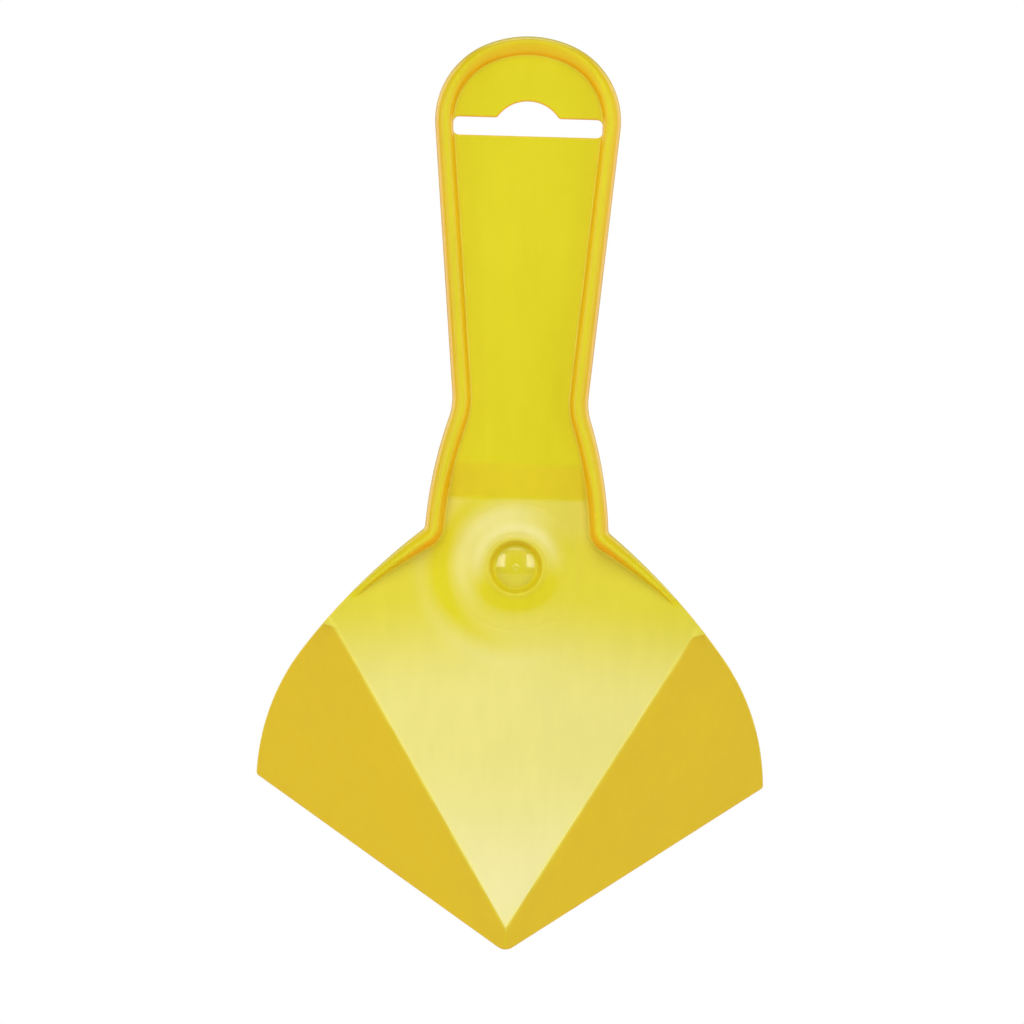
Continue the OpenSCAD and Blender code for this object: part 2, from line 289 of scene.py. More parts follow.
# The blade's folds, the gate in its middle, and the plates' levels from front to back
fold = {
    "height": 4.7,
    "angle": math.radians(31.15),
    "length": 74.2,
    "topAngle": math.radians(15),
    "fold": math.radians(46.7),
    "soft": 0.2,  # softness of the crease in front, and behind
    "softBack": 0.5,
    "ridge": 0.15,
    "thickness": panelHigh[1] - panelLow[1],
    "edgeRadius": 0.35,
    "endSpread": 2,  # how much sooner the bend fades past the crease's end than beside it
}
gate = {
    "height": (bossLow[2] + bossHigh[2]) / 2 - tipZ,
    "radius": bossHigh[0],
    "pad": bossHigh[1] - panelHigh[1],
    "padFoot": 0.25,
    "padEdge": 0.3,
    "well": 5.8,
    "button": 4.3,
    "depth": 1.2,
    "rise": 0.68,
    "wallWidth": 1.3,
    "nub": 0.15,
    "nubRadius": 0.6,
    "lip": 0.3,
    "lipOut": 0.3,
    "lipWidth": 0.6,
    "mound": 0.4,
    "moundEnd": 12.2,
    "ring": 13.7,
    "ringDepth": 0.06,
    "ringWidth": 0.3,
    "fadeStart": 0.2,  # the relief fades out this far below the ramp, over this length
    "fadeLength": 1.2,
    "glossPower": 10,
    "turns": 181,
    "rings": ((0.1, 1.0, 10), (1.2, 4.4, 18), (4.5, 6.2, 24), (6.35, bossHigh[0], 9)),
    "padRings": 20,
    "padSteps": 8,
}
slopeReach = 0.02  # how far to each side a surface's slope is measured
roundSteps = 7  # points round a rounded edge
upCrease = np.array([math.sin(fold["angle"]), math.cos(fold["angle"])])
outCrease = np.array([math.cos(fold["angle"]), -math.sin(fold["angle"])])
foldSlope = math.tan(fold["fold"])
backShift = fold["thickness"] * math.tan(fold["fold"] / 2)


# A step from 0 to 1 with flat ends
def smooth(t):
    t = np.clip(t, 0, 1)
    return t * t * (3 - 2 * t)


def mix(a, b, t):
    return a + (b - a) * t


# A straight bend from level to slope at 0, softened over the given width
def softBend(t, width):
    return (t + np.sqrt(t * t + width * width)) / 2


# A bend made of a flat, a parabola over twice the radius, and a slope
def roundedBend(t, radius):
    inside = (np.clip(t, -radius, radius) + radius) ** 2 / (4 * radius)
    return inside + np.maximum(t - radius, 0)


# Share of the ramp's drop at a height: 0 on the web and 1 on the blade
def rampShare(height):
    high = roundedBend(ramp["top"] - height, ramp["round"])
    low = roundedBend(ramp["base"] - height, ramp["round"])
    return (high - low) / (ramp["top"] - ramp["base"])


# Distance outwards from the nearer crease's line
def fromCrease(x, height):
    across = np.sqrt(x * x + fold["ridge"] ** 2)
    return across * outCrease[0] + (height - fold["height"]) * outCrease[1]


# The same for the panel, which stays flat past the crease's upper end: there it is the way
# to that end, counted inwards. The shift is how much further in the crease lies behind
def panelFromCrease(x, height, shift=0):
    out = fromCrease(x, height)
    up = np.abs(x) * upCrease[0] + (height - fold["height"]) * upCrease[1]
    past = np.maximum(up - fold["length"], 0)
    return np.where(past > 0, -np.hypot(out, fold["endSpread"] * past), out + shift)


# The gate's relief in front, towards the viewer, at a distance from its middle: a round
# button in a well with a lip, on a low mound inside a faint ring
def gateRelief(r):
    g = gate
    dome = g["rise"] * (1 - (np.minimum(r, g["button"]) / g["button"]) ** 2) - g["depth"]
    nub = g["nub"] * np.exp(-((r / g["nubRadius"]) ** 4))
    wall = smooth((r - g["well"] + g["wallWidth"]) / g["wallWidth"])
    lip = g["lip"] * np.exp(-(((r - g["well"] - g["lipOut"]) / g["lipWidth"]) ** 2))
    mound = g["mound"] * (1 - smooth((r - g["well"]) / (g["moundEnd"] - g["well"])))
    ring = g["ringDepth"] * np.exp(-(((r - g["ring"]) / g["ringWidth"]) ** 2))
    return (dome + nub) * (1 - wall) + wall * (lip + mound) - ring


# Level of the front surface above a place on the plan: the web, the ramp down to the
# blade, the gate's relief, and the panel's edge turning over at each crease
def frontLevel(x, height):
    level = mix(webLow[1], panelLow[1], rampShare(height))
    fade = smooth((ramp["base"] - gate["fadeStart"] - height) / gate["fadeLength"])
    relief = gateRelief(np.hypot(x, height - gate["height"])) * fade
    return level - relief + foldSlope * softBend(panelFromCrease(x, height), fold["soft"])


# Level of the back surface of the web, the ramp and the panel, with a fillet round the pad
def backLevel(x, height):
    level = mix(webHigh[1], panelHigh[1], rampShare(height))
    r = np.hypot(x, height - gate["height"])
    foot = gate["padFoot"]
    t = np.clip((r - gate["radius"]) / foot, 0, 1)
    fillet = foot * (1 - np.sqrt(1 - (1 - t) ** 2)) * (r > gate["radius"] - slopeReach)
    out = panelFromCrease(x, height, backShift)
    return level + fillet + foldSlope * softBend(out, fold["softBack"])


# Levels of a wing's two surfaces, which slope away from the crease
def wingFront(x, height):
    return panelLow[1] + foldSlope * softBend(fromCrease(x, height), fold["soft"])


def wingBack(x, height):
    out = fromCrease(x, height) + backShift
    return panelHigh[1] + foldSlope * softBend(out, fold["softBack"])


# Vectors brought to length 1
def unit(vectors):
    return vectors / np.linalg.norm(vectors, axis=-1, keepdims=True).clip(1e-12)


# Unit normal of a level surface, from its slopes across and up; face is -1 in front
def levelNormal(level, plan, face):
    x, height = plan[..., 0], plan[..., 1]
    slopeX = (level(x + slopeReach, height) - level(x - slopeReach, height)) / (2 * slopeReach)
    slopeZ = (level(x, height + slopeReach) - level(x, height - slopeReach)) / (2 * slopeReach)
    return unit(np.stack([-slopeX, np.ones_like(slopeX), -slopeZ], -1) * face)


# Points on the plan as points in space at a level, or vectors as vectors with no rise
def raised(plan, level=None):
    level = np.zeros(plan.shape[:-1]) if level is None else level
    return np.stack([plan[..., 0], level, plan[..., 1]], -1)


# How far along a line each of its points lies
def lengthAlong(points):
    return np.concatenate([[0], np.cumsum(np.linalg.norm(np.diff(points, axis=0), axis=1))])


# How far the painted shade, painted edge highlight and painted sheen masks reach. Heights are
# above the tip
paintedShading = {"power": 1.5, "lower": 0.8, "ribStart": 18.5, "ribReach": 9, "ribShare": 0.4}
paintedHighlight = {"wall": 0.6, "edge": 0.8, "creaseWidth": 0.45, "foot": 0.8, "footWidth": 0.3}
paintedSheen = {
    "base": 0.08,
    "buttonPower": 8,
    "side": 0.12,  # how much sooner the sides turn pale
    "down": (0.5, 80, 26),  # amount, start and length of each stretch
    "tip": (0.5, 45, 42),
    "top": (0.12, 86, 6),
    "turnShare": 0.8,
}
# Painted highlights (positive strength) and painted shade (negative) on the mound round the gate,
# where its slopes face towards or away from the light above: strength, radius, width, direction in
# degrees, spread
paintedGateLight = [
    (0.55, 8.4, 1.6, 105, 0.45),
    (0.44, 11.6, 2.0, 140, 0.2),
    (-0.20, 8.2, 1.7, 270, 0.2),
    (-0.16, 16.3, 1.6, 190, 0.3),
    (0.10, 20.5, 1.6, 215, 0.3),
]


# Painted shade: 0 where a face lies square to the front or back, more as it turns into a
# wall, and more on lower faces, which turn away from the light above
def paintedShadeShare(normal):
    side = np.sqrt(np.clip(1 - normal[:, 1] ** 2, 0, 1))
    return side ** paintedShading["power"] * (1 - paintedShading["lower"] * normal[:, 2])


# How much less painted shade a shoulder rib gets than the rim, as it gets thinner outwards
def ribShadeFade(point):
    out = smooth((np.abs(point[:, 0]) - paintedShading["ribStart"]) / paintedShading["ribReach"])
    return mix(1, paintedShading["ribShare"], out)


# Painted sheen on the panel: paler from its middle down to the tip and a little by the ramp,
# with the painted highlights and shade round the gate added; the gate's button is left clear
def paintedSheenShare(point):
    x, height = point[:, 0], point[:, 2]
    r = np.hypot(x, height - gate["height"])
    turn = np.arctan2(height - gate["height"], x)
    painted_sheen = paintedSheen["base"] * (1 - np.exp(-((r / gate["well"]) ** paintedSheen["buttonPower"])))
    amount, start, length = paintedSheen["down"]
    painted_sheen += amount * smooth((start - height - paintedSheen["side"] * np.abs(x)) / length)
    amount, start, length = paintedSheen["tip"]
    painted_sheen += amount * smooth((start - height) / length)
    amount, start, length = paintedSheen["top"]
    painted_sheen += amount * smooth((height - start) / length) * smooth(ramp["base"] - height)
    for amount, middle, width, way, spread in paintedGateLight:
        facing = smooth(spread + paintedSheen["turnShare"] * np.cos(turn - math.radians(way)))
        painted_sheen += amount * np.exp(-(((r - middle) / width) ** 2)) * facing
    return np.clip(painted_sheen, 0, 1)


# How glossy the gate's button is: 1 on the button and 0 outside its wall
def glossShare(point):
    r = np.hypot(point[:, 0], point[:, 2] - gate["height"])
    return np.exp(-((r / gate["button"]) ** gate["glossPower"]))


sameWithin = 0.0001  # points closer than this count as equal


# Puts grids of points, each with its normals and painted edge highlight, into one closed mesh:
# equal points are merged, faces that have shrunk to nothing are left out, and each grid faces its
# normals
def meshPiece(name, grids):
    points, normals, edgeHighlights, corners, count = [], [], [], [], 0
    for gridPoints, gridNormals, gridHighlight in grids:
        rows, columns = gridPoints.shape[:2]
        index = count + np.arange(rows * columns).reshape(rows, columns)
        ringed = (index[:-1, :-1], index[1:, :-1], index[1:, 1:], index[:-1, 1:])
        quad = np.stack(ringed, -1).reshape(-1, 4)
        flatPoints, flatNormals = gridPoints.reshape(-1, 3), gridNormals.reshape(-1, 3)
        a, b, c, d = (flatPoints[quad[:, k] - count] for k in range(4))
        facing = np.cross(c - a, d - b)
        if (facing * flatNormals[quad[:, 0] - count]).sum() < 0:
            quad = quad[:, ::-1]
        points.append(flatPoints)
        normals.append(flatNormals)
        edgeHighlights.append(np.broadcast_to(gridHighlight, (rows, columns)).ravel())
        corners.append(quad)
        count += rows * columns
    points, normals, edgeHighlights, corners = map(np.concatenate, (points, normals, edgeHighlights, corners))
    rounded = np.round(points / sameWithin).astype(np.int64)
    _, first, merged = np.unique(rounded, axis=0, return_index=True, return_inverse=True)
    merged = merged.reshape(-1)
    face = merged[corners]
    same = face == np.roll(face, -1, axis=1)
    crossed = (face[:, 0] == face[:, 2]) | (face[:, 1] == face[:, 3])
    whole = (same.sum(1) == 0) & ~crossed
    short = (same.sum(1) == 1) & ~crossed
    others = np.array([[k for k in range(4) if k != gone] for gone in range(4)])
    keep = others[same[short].argmax(1)]
    triangle = np.take_along_axis(face[short], keep, 1)
    triangleCorner = np.take_along_axis(corners[short], keep, 1)
    everyCorner = np.concatenate([face[whole].ravel(), triangle.ravel()])
    used, compact = np.unique(everyCorner, return_inverse=True)
    compact = compact.reshape(-1)
    quadCount = whole.sum() * 4
    vertices = points[first[used]]
    vertices[:, 2] += tipZ
    mesh = bpy.data.meshes.new(name)
    faces = compact[:quadCount].reshape(-1, 4).tolist()
    faces += compact[quadCount:].reshape(-1, 3).tolist()
    mesh.from_pydata((vertices / 1000).tolist(), [], faces)
    mesh.polygons.foreach_set("use_smooth", np.ones(len(faces), bool))
    loops = np.concatenate([corners[whole].ravel(), triangleCorner.ravel()])
    mesh.normals_split_custom_set(normals[loops].tolist())
    at = points[loops]
    # The painted shade, painted sheen and painted edge highlight masks, and the gloss mask, at
    # each corner
    painted_shade = paintedShadeShare(normals[loops]) * (ribShadeFade(at) if "shoulder_rib" in name else 1)
    masks = {"painted_shade": painted_shade, "painted_sheen": paintedSheenShare(at), "edge_highlight": edgeHighlights[loops], "gloss": glossShare(at)}
    for mask, values in masks.items():
        painted = mesh.attributes.new(mask, "FLOAT", "CORNER")
        painted.data.foreach_set("value", values.astype(np.float32))
    mesh.update()
    return mesh


# A strip of wall between two rows of points, with its own normals and the walls' painted edge
# highlight
def wallBetween(frontRow, backRow, normal):
    grid = np.stack([frontRow, backRow], 1)
    return grid, np.broadcast_to(normal[:, None, :], grid.shape), paintedHighlight["wall"]


# Flat normal of a wall along a row of points, pointing away from the plate's row beside it
def across(row, beside):
    way = np.gradient(row, axis=0)
    flat = np.stack([way[:, 2], np.zeros(len(way)), -way[:, 0]], -1)
    flat *= np.where(((row - beside) * flat).sum(1, keepdims=True) < 0, -1, 1)
    size = np.linalg.norm(flat, axis=1, keepdims=True)
    return flat / np.where(size > 1e-9, size, 1)


# A plate between two level surfaces, over plan grids in front and behind. Where radius is
# above 0 the last column turns over: at the angle a it moves on by radius sin a along shift
# and drops by radius (1 - cos a), and its normal turns from the surface's to outward
def slab(plan, planBack, front, back, outward=None, radius=None, shift=None, cyclic=False):
    grids = []
    for place, level, face in ((plan, front, -1), (planBack, back, 1)):
        if radius is None:
            drop, angles = 0, np.zeros(place.shape[:2])
            normal = levelNormal(level, place, face)
        else:
            angle = np.linspace(0, math.pi / 2, roundSteps)
            over = shift[:, None, :] * (radius[:, None] * np.sin(angle[1:]))[..., None]
            angles = np.concatenate([np.zeros(place.shape[1]), angle[1:]])[None, :]
            angles = angles * (radius[:, None] > 0)
            place = np.concatenate([place, place[:, -1:, :] + over], 1)
            drop = radius[:, None] * (1 - np.cos(angles))
            turned = raised(outward)[:, None, :] * np.sin(angles)[..., None]
            normal = levelNormal(level, place, face) * np.cos(angles)[..., None] + turned
            normal = unit(normal)
        x, height = place[..., 0], place[..., 1]
        # Painted highlight on the rounded edges and along the crease
        nearCrease = np.exp(-((fromCrease(x, height) / paintedHighlight["creaseWidth"]) ** 2))
        edge_highlight = np.clip(paintedHighlight["edge"] * np.sin(angles) + nearCrease, 0, 1)
        grids.append((raised(place, level(x, height) - face * drop), normal, edge_highlight))
    frontPoints, backPoints = grids[0][0], grids[1][0]
    beside = max(frontPoints.shape[1] // 3, 1)
    first, last = frontPoints[:, 0], frontPoints[:, -1]
    grids.append(wallBetween(first, backPoints[:, 0], across(first, frontPoints[:, beside])))
    normal = across(last, frontPoints[:, -1 - beside])
    if radius is not None:
        free = radius > 0
        normal[free] = raised(outward)[free]
    grids.append(wallBetween(last, backPoints[:, -1], normal))
    if not cyclic:
        for row, near in ((0, 1), (-1, -2)):
            normal = across(frontPoints[row], frontPoints[near])
            grids.append(wallBetween(frontPoints[row], backPoints[row], normal))
    return grids


# The bead's section at each point of the rim, as distance in from the outline and level.
# Outside, a half ellipse runs from the back crest round to the front crest; inside, a
# quarter ellipse falls from each crest to a small fillet that lies flat on the web or blade
ribStart = marks["rib"][0]
ribLengths = lengthAlong(rightPoints[ribStart:])
ribShareRight = np.concatenate([np.zeros(ribStart), ribLengths / ribLengths[-1]])
ribShare = np.concatenate([ribShareRight[:0:-1], ribShareRight])[:, None]
bladeMiddle = (panelLow[1] + panelHigh[1]) / 2


def beadSection():
    width = mix(bead["width"], bead["endWidth"], ribShare)
    footPlan = rimPoints + width * rimInward
    footFront = frontLevel(footPlan[:, 0], footPlan[:, 1])[:, None]
    footBack = backLevel(footPlan[:, 0], footPlan[:, 1])[:, None]
    front = mix(bead["front"], panelLow[1] - bead["endRise"], ribShare)
    back = mix(bead["back"], panelHigh[1] + bead["endRise"], ribShare)
    middle = mix(0, bladeMiddle, ribShare)
    onCrown = smooth((rimPoints[:, 1:] - slot["height"]) / bead["crownReach"])
    facesUp = np.maximum(-rimInward[:, 1:], 0) ** 2 * onCrown
    crest = (bead["crest"] - bead["crownShift"] * facesUp) * width / bead["width"]
    toEnd = (ribShare - 1) * o["ribLength"]
    blend = smooth((toEnd + bead["endBlend"]) / bead["endBlend"])
    halves = []
    for crestLevel, footLevel, sign in ((front, footFront, -1), (back, footBack, 1)):
        a = np.radians(np.arange(0, 91, bead["outerStep"]))
        outerW, outerY = crest * (1 - np.cos(a)), mix(middle, crestLevel, np.sin(a))
        p = a / (math.pi / 2)  # the plain plate edge: wall, quarter round and flat
        start, end = bead["plainTurn"], bead["plainFlat"]
        turn = np.clip((p - start) / (end - start), 0, 1) * math.pi / 2
        flat = np.clip((p - end) / (1 - end), 0, 1)
        radius = fold["edgeRadius"]
        plainW = mix(radius * (1 - np.cos(turn)), crest, flat)
        wallTop = footLevel - sign * radius
        plainY = mix(middle, wallTop, np.clip(p / start, 0, 1)) + sign * radius * np.sin(turn)
        fillet = np.minimum(bead["foot"], bead["footShare"] * np.abs(footLevel - crestLevel))
        b = np.radians(np.arange(bead["innerStep"], 91, bead["innerStep"]))
        innerW = crest + (width - fillet - crest) * np.sin(b)
        top = footLevel + sign * fillet
        fall = mix(np.cos(b), 1 - np.sin(b), bead["crownSlope"] * facesUp)
        c = np.radians(np.arange(bead["footStep"], 91, bead["footStep"]))
        footW = width - fillet * np.cos(c)
        footY = footLevel + sign * fillet * (1 - np.sin(c))
        innerY = mix(np.concatenate([top + (crestLevel - top) * fall, footY], 1), footLevel, blend)
        w = np.concatenate([mix(outerW, plainW, blend), innerW, footW], 1)
        halves.append((w, np.concatenate([mix(outerY, plainY, blend), innerY], 1)))
    (frontW, frontY), (backW, backY) = halves
    w = np.concatenate([backW[:, :0:-1], frontW], 1)
    y = np.concatenate([backY[:, :0:-1], frontY], 1)
    # The slot's ends cut straight into the bead's foot; a few rounds settle how far in
    straight = slot["halfHeight"] - slot["cornerRadius"]
    reach = np.full(len(rimPoints), bead["width"])
    for _ in range(4):
        offset = np.abs(rimPoints[:, 1] + reach * rimInward[:, 1] - slot["height"])
        corner = np.maximum(slot["cornerRadius"] ** 2 - np.maximum(offset - straight, 0) ** 2, 0)
        slotX = slot["halfWidth"] - slot["cornerRadius"] + np.sqrt(corner)
        reach = (np.abs(rimPoints[:, 0]) - slotX) / np.abs(rimInward[:, 0]).clip(0.1)
    cut = np.where(offset < slot["halfHeight"], reach, 2 * bead["width"])[:, None]
    isCut = cut < width
    return np.minimum(w, cut), y, isCut[:, 0]


beadW, beadY, isCut = beadSection()
rimGrid = raised(rimPoints[:, None, :] + beadW[..., None] * rimInward[:, None, :], beadY)
rimNormals = unit(np.cross(np.gradient(rimGrid, axis=0), np.gradient(rimGrid, axis=1)))
outwards = raised(-rimInward)
if (rimNormals[:, rimGrid.shape[1] // 2] * outwards).sum() < 0:
    rimNormals = -rimNormals
footPlan = rimGrid[:, 0][:, [0, 2]]
rimNormals[~isCut, 0] = levelNormal(backLevel, footPlan[~isCut], 1)
rimNormals[~isCut, -1] = levelNormal(frontLevel, rimGrid[~isCut, -1][:, [0, 2]], -1)


# A stretch of the rim as a closed piece, between two points of the whole rim
def rimPiece(first, last):
    part, normal = rimGrid[first : last + 1], rimNormals[first : last + 1]
    inside = -outwards[first : last + 1]
    fromFoot = (mix(bead["width"], bead["endWidth"], ribShare) - beadW)[first : last + 1]
    # A painted highlight along the bead's foot
    footLine = paintedHighlight["foot"] * np.exp(-((fromFoot / paintedHighlight["footWidth"]) ** 2))
    grids = [(part, normal, footLine), wallBetween(part[:, 0], part[:, -1], inside)]
    half = part.shape[1] // 2
    for end, beside in ((0, 1), (-1, -2)):
        way = unit(part[end, half] - part[beside, half])
        cap = np.stack([part[end, : half + 1], part[end, ::-1][: half + 1]], 1)
        grids.append((cap, np.broadcast_to(way, cap.shape), 0.0))
    return grids


centreIndex = rightCount - 1
pieces = {}
headEnd = marks["headTail"][1]
pieces["head_rim"] = rimPiece(centreIndex - headEnd, centreIndex + headEnd)
for nodeName, firstMark, lastMark in (
    ("handle_rim", "handle", "handle"),
    ("neck_rim", "waist", "below"),
    ("shoulder_rib", "notch", "rib"),
):
    start, end = marks[firstMark][0], marks[lastMark][1]
    pieces["right_" + nodeName] = rimPiece(centreIndex + start, centreIndex + end)
    pieces["left_" + nodeName] = rimPiece(centreIndex - end, centreIndex - start)
print("rim: %d sections of %d points" % rimGrid.shape[:2])

# The web above and below the slot
cutRight = isCut[centreIndex:]
aboveSlot = np.argmax(cutRight) - 1
belowSlot = len(cutRight) - np.argmax(cutRight[::-1])
feet = rimPoints + mix(bead["width"], bead["endWidth"], ribShare) * rimInward


# Points at given shares of a line's length, with the unit vectors that go with them
def respaced(points, vectors, share):
    length = lengthAlong(points)
    newPoints, newVectors = (
        np.stack([np.interp(share * length[-1], length, line[:, k]) for k in range(2)], -1)
        for line in (points, vectors)
    )
    return newPoints, unit(newVectors)


# One edge of the slot from left to right, with the unit vectors into the web. The upper
# edge rises over the hook's notch, an arc with a small fillet at each foot
def slotEdge(start, side):
    s = slot
    edge = s["height"] + side * s["halfHeight"]
    radius, fillet = s["cornerRadius"], s["notchFillet"]
    corner = np.array([s["halfWidth"] - radius, edge - side * radius])
    turns = (side * angleOf((start - corner) * [1, side]), side * math.pi / 2)
    parts = [arcPoints(corner, radius, *turns, -1, s["roundStep"])]
    middle, intoWeb = np.array([0, edge]), np.array([0, float(side)])
    if side > 0:
        notchRadius = (s["notchHalfWidth"] ** 2 + s["notchHeight"] ** 2) / (2 * s["notchHeight"])
        centre = np.array([0, edge + s["notchHeight"] - notchRadius])
        filletX = math.sqrt((notchRadius + fillet) ** 2 - (edge + fillet - centre[1]) ** 2)
        filletCentre = np.array([filletX, edge + fillet])
        turned = angleOf(centre - filletCentre) % (2 * math.pi)
        turns = (turned - math.pi, math.pi / 2)
        parts += [
            linePoints(parts[0][0][-1], np.array([filletX, edge]), intoWeb, s["lineStep"]),
            arcPoints(filletCentre, fillet, 1.5 * math.pi, turned, 1, s["roundStep"]),
            arcPoints(centre, notchRadius, *turns, -1, s["notchStep"]),
        ]
    else:
        parts.append(linePoints(parts[0][0][-1], middle, intoWeb, s["lineStep"]))
    points, inward, _ = joined(list(enumerate(parts)))
    mirrored = (np.concatenate([line[:-1] * mirrorX, line[::-1]]) for line in (points, inward))
    return tuple(mirrored)


# How the webs' grids are spaced, and where the slot's curve fades out of the lower one
web = {
    "rows": 24,
    "columns": 70,
    "dipFade": 6,
    "roundFade": 3,
    "sharpEnds": 20,
}


# The web above the slot: lines run down from the bead's foot to the slot's upper edge
def headWeb():
    arch = feet[centreIndex - aboveSlot : centreIndex + aboveSlot + 1]
    edge, inward = slotEdge(arch[-1], 1)
    length = lengthAlong(arch)
    edge, inward = respaced(edge, inward, length / length[-1])
    edge[0], edge[-1] = arch[0], arch[-1]
    depth = np.linalg.norm(edge - arch, axis=1)
    radius = slot["edgeRadius"] * smooth(depth / (3 * slot["edgeRadius"]))
    inner = edge + inward * radius[:, None]
    rows = np.linspace(0, 1, web["rows"])[None, :, None]
    plan = mix(arch[:, None, :], inner[:, None, :], rows)
    return slab(plan, plan, frontLevel, backLevel, -inward, radius, -inward)


# The web below the slot: rows run across between the beads' feet, and the first ones
# follow the slot's lower edge
def handleWeb():
    right = feet[centreIndex + belowSlot : centreIndex + marks["ramp"][0] + 1]
    left = right * mirrorX
    below = right[0, 1] - right[:, 1]
    edge, inward = slotEdge(right[0], -1)
    edge, inward = respaced(edge, inward, np.linspace(0, 1, web["columns"]))
    edge[0], edge[-1] = left[0], right[0]
    share = (edge[:, 0] - edge[0, 0]) / (edge[-1, 0] - edge[0, 0])
    plan = mix(left[:, None, :], right[:, None, :], share[None, :, None])
    dipShare = 1 - smooth(below / web["dipFade"])
    plan[..., 1] += (edge[:, 1] - edge[0, 1])[None, :] * dipShare[:, None]
    plan[0] = edge
    radius = slot["edgeRadius"] * smooth((1 - np.abs(2 * share - 1)) * web["sharpEnds"])
    reach = radius[None, :] * (1 - smooth(below / web["roundFade"]))[:, None]
    plan = plan + inward[None, :, :] * reach[..., None]
    plan = np.transpose(plan, (1, 0, 2))[:, ::-1]
    return slab(plan, plan, frontLevel, backLevel, -inward, radius, -inward)


# The ramp: rows run across between the beads' feet
def neckRamp():
    first, last = marks["ramp"]
    right = feet[centreIndex + first : centreIndex + last + 1]
    share = np.linspace(0, 1, ramp["columns"])[None, :, None]
    plan = mix((right * mirrorX)[:, None, :], right[:, None, :], share)
    return slab(plan, plan, frontLevel, backLevel)


pieces["head_web"] = headWeb()
pieces["handle_web"] = handleWeb()
pieces["neck_ramp"] = neckRamp()
print("web: above and below the slot, and the ramp")

# The blade: its outer edge from the ribs to the tip, and the folds
creaseTop = np.array([0, fold["height"]]) + fold["length"] * upCrease
topWay = towards(fold["topAngle"])
creaseTopBack = creaseTop - topWay * backShift / (topWay @ outCrease)
meetingBack = np.array([0, fold["height"] + backShift / upCrease[0]])


# Where the wing's top edge, a straight line, meets the blade's upper edge, an arc
def topCorner():
    gap = creaseTop - edgeCentre
    b = gap @ topWay
    c = gap @ gap - o["edgeRadius"] ** 2
    return creaseTop + (-b + math.sqrt(b * b - c)) * topWay


topOuter = topCorner()
outerTurn = angleOf(topOuter - edgeCentre)
cornerEnd = cornerCentre + o["cornerRadius"] * lowerOut
wingArc, tipArc = (wingCentre, o["wingRadius"]), (tipCentre, o["tipRadius"])
cornerArc = (cornerCentre, o["cornerRadius"])
freeEdge = {
    "upper": arcPoints(*edgeArc, ribEnd, outerTurn, step=bladeStep),
    "wingTop": arcPoints(*edgeArc, outerTurn, edgeStart, step=bladeStep),
    "wing": arcPoints(*wingArc, edgeStart, cornerAngle, step=o["wingStep"]),
    "corner": arcPoints(*cornerArc, cornerAngle, -tipAngle, step=o["cornerStep"]),
    "lower": linePoints(cornerEnd, lowerStart, -lowerOut),
    "tip": arcPoints(*tipArc, -tipAngle, -math.pi / 2, step=o["tipStep"]),
}
# How the grids of the panel and the wings are spaced
panel = {
    "borderStep": 0.5,
    "wingTopStep": 0.1,
    "slantReach": 5,  # how near the wing's top edge the lines start to swing round
    "closeReach": 7.5,  # the rings round the gate that lie close together
    "closeShare": 0.6,
    "rings": 26,
    "atEdge": 1,  # the rings at the border
    "atEdgeShare": 0.1,
    "edgeShares": (0.25, 0.45, 0.6, 0.7, 0.78, 0.85, 0.92, 1.0),
    "stripSteps": 5,
}
wing = {
    "creaseShares": (0, 0.004, 0.009, 0.016, 0.026, 0.04),
    "middleShares": (0.06, 0.985, 34),
    "edgeShares": (0.993, 1.0),
}


# How far a step along each line moves in from the edge: the lines stand square to the
# edge and swing round to the wing's top edge in the last few millimetres before it
def slanted(points, inward, way):
    near = 1 - smooth(np.linalg.norm(points - topOuter, axis=1) / panel["slantReach"])
    slant = mix(inward, way, near[:, None])
    slant /= (slant * inward).sum(1, keepdims=True)
    return slant


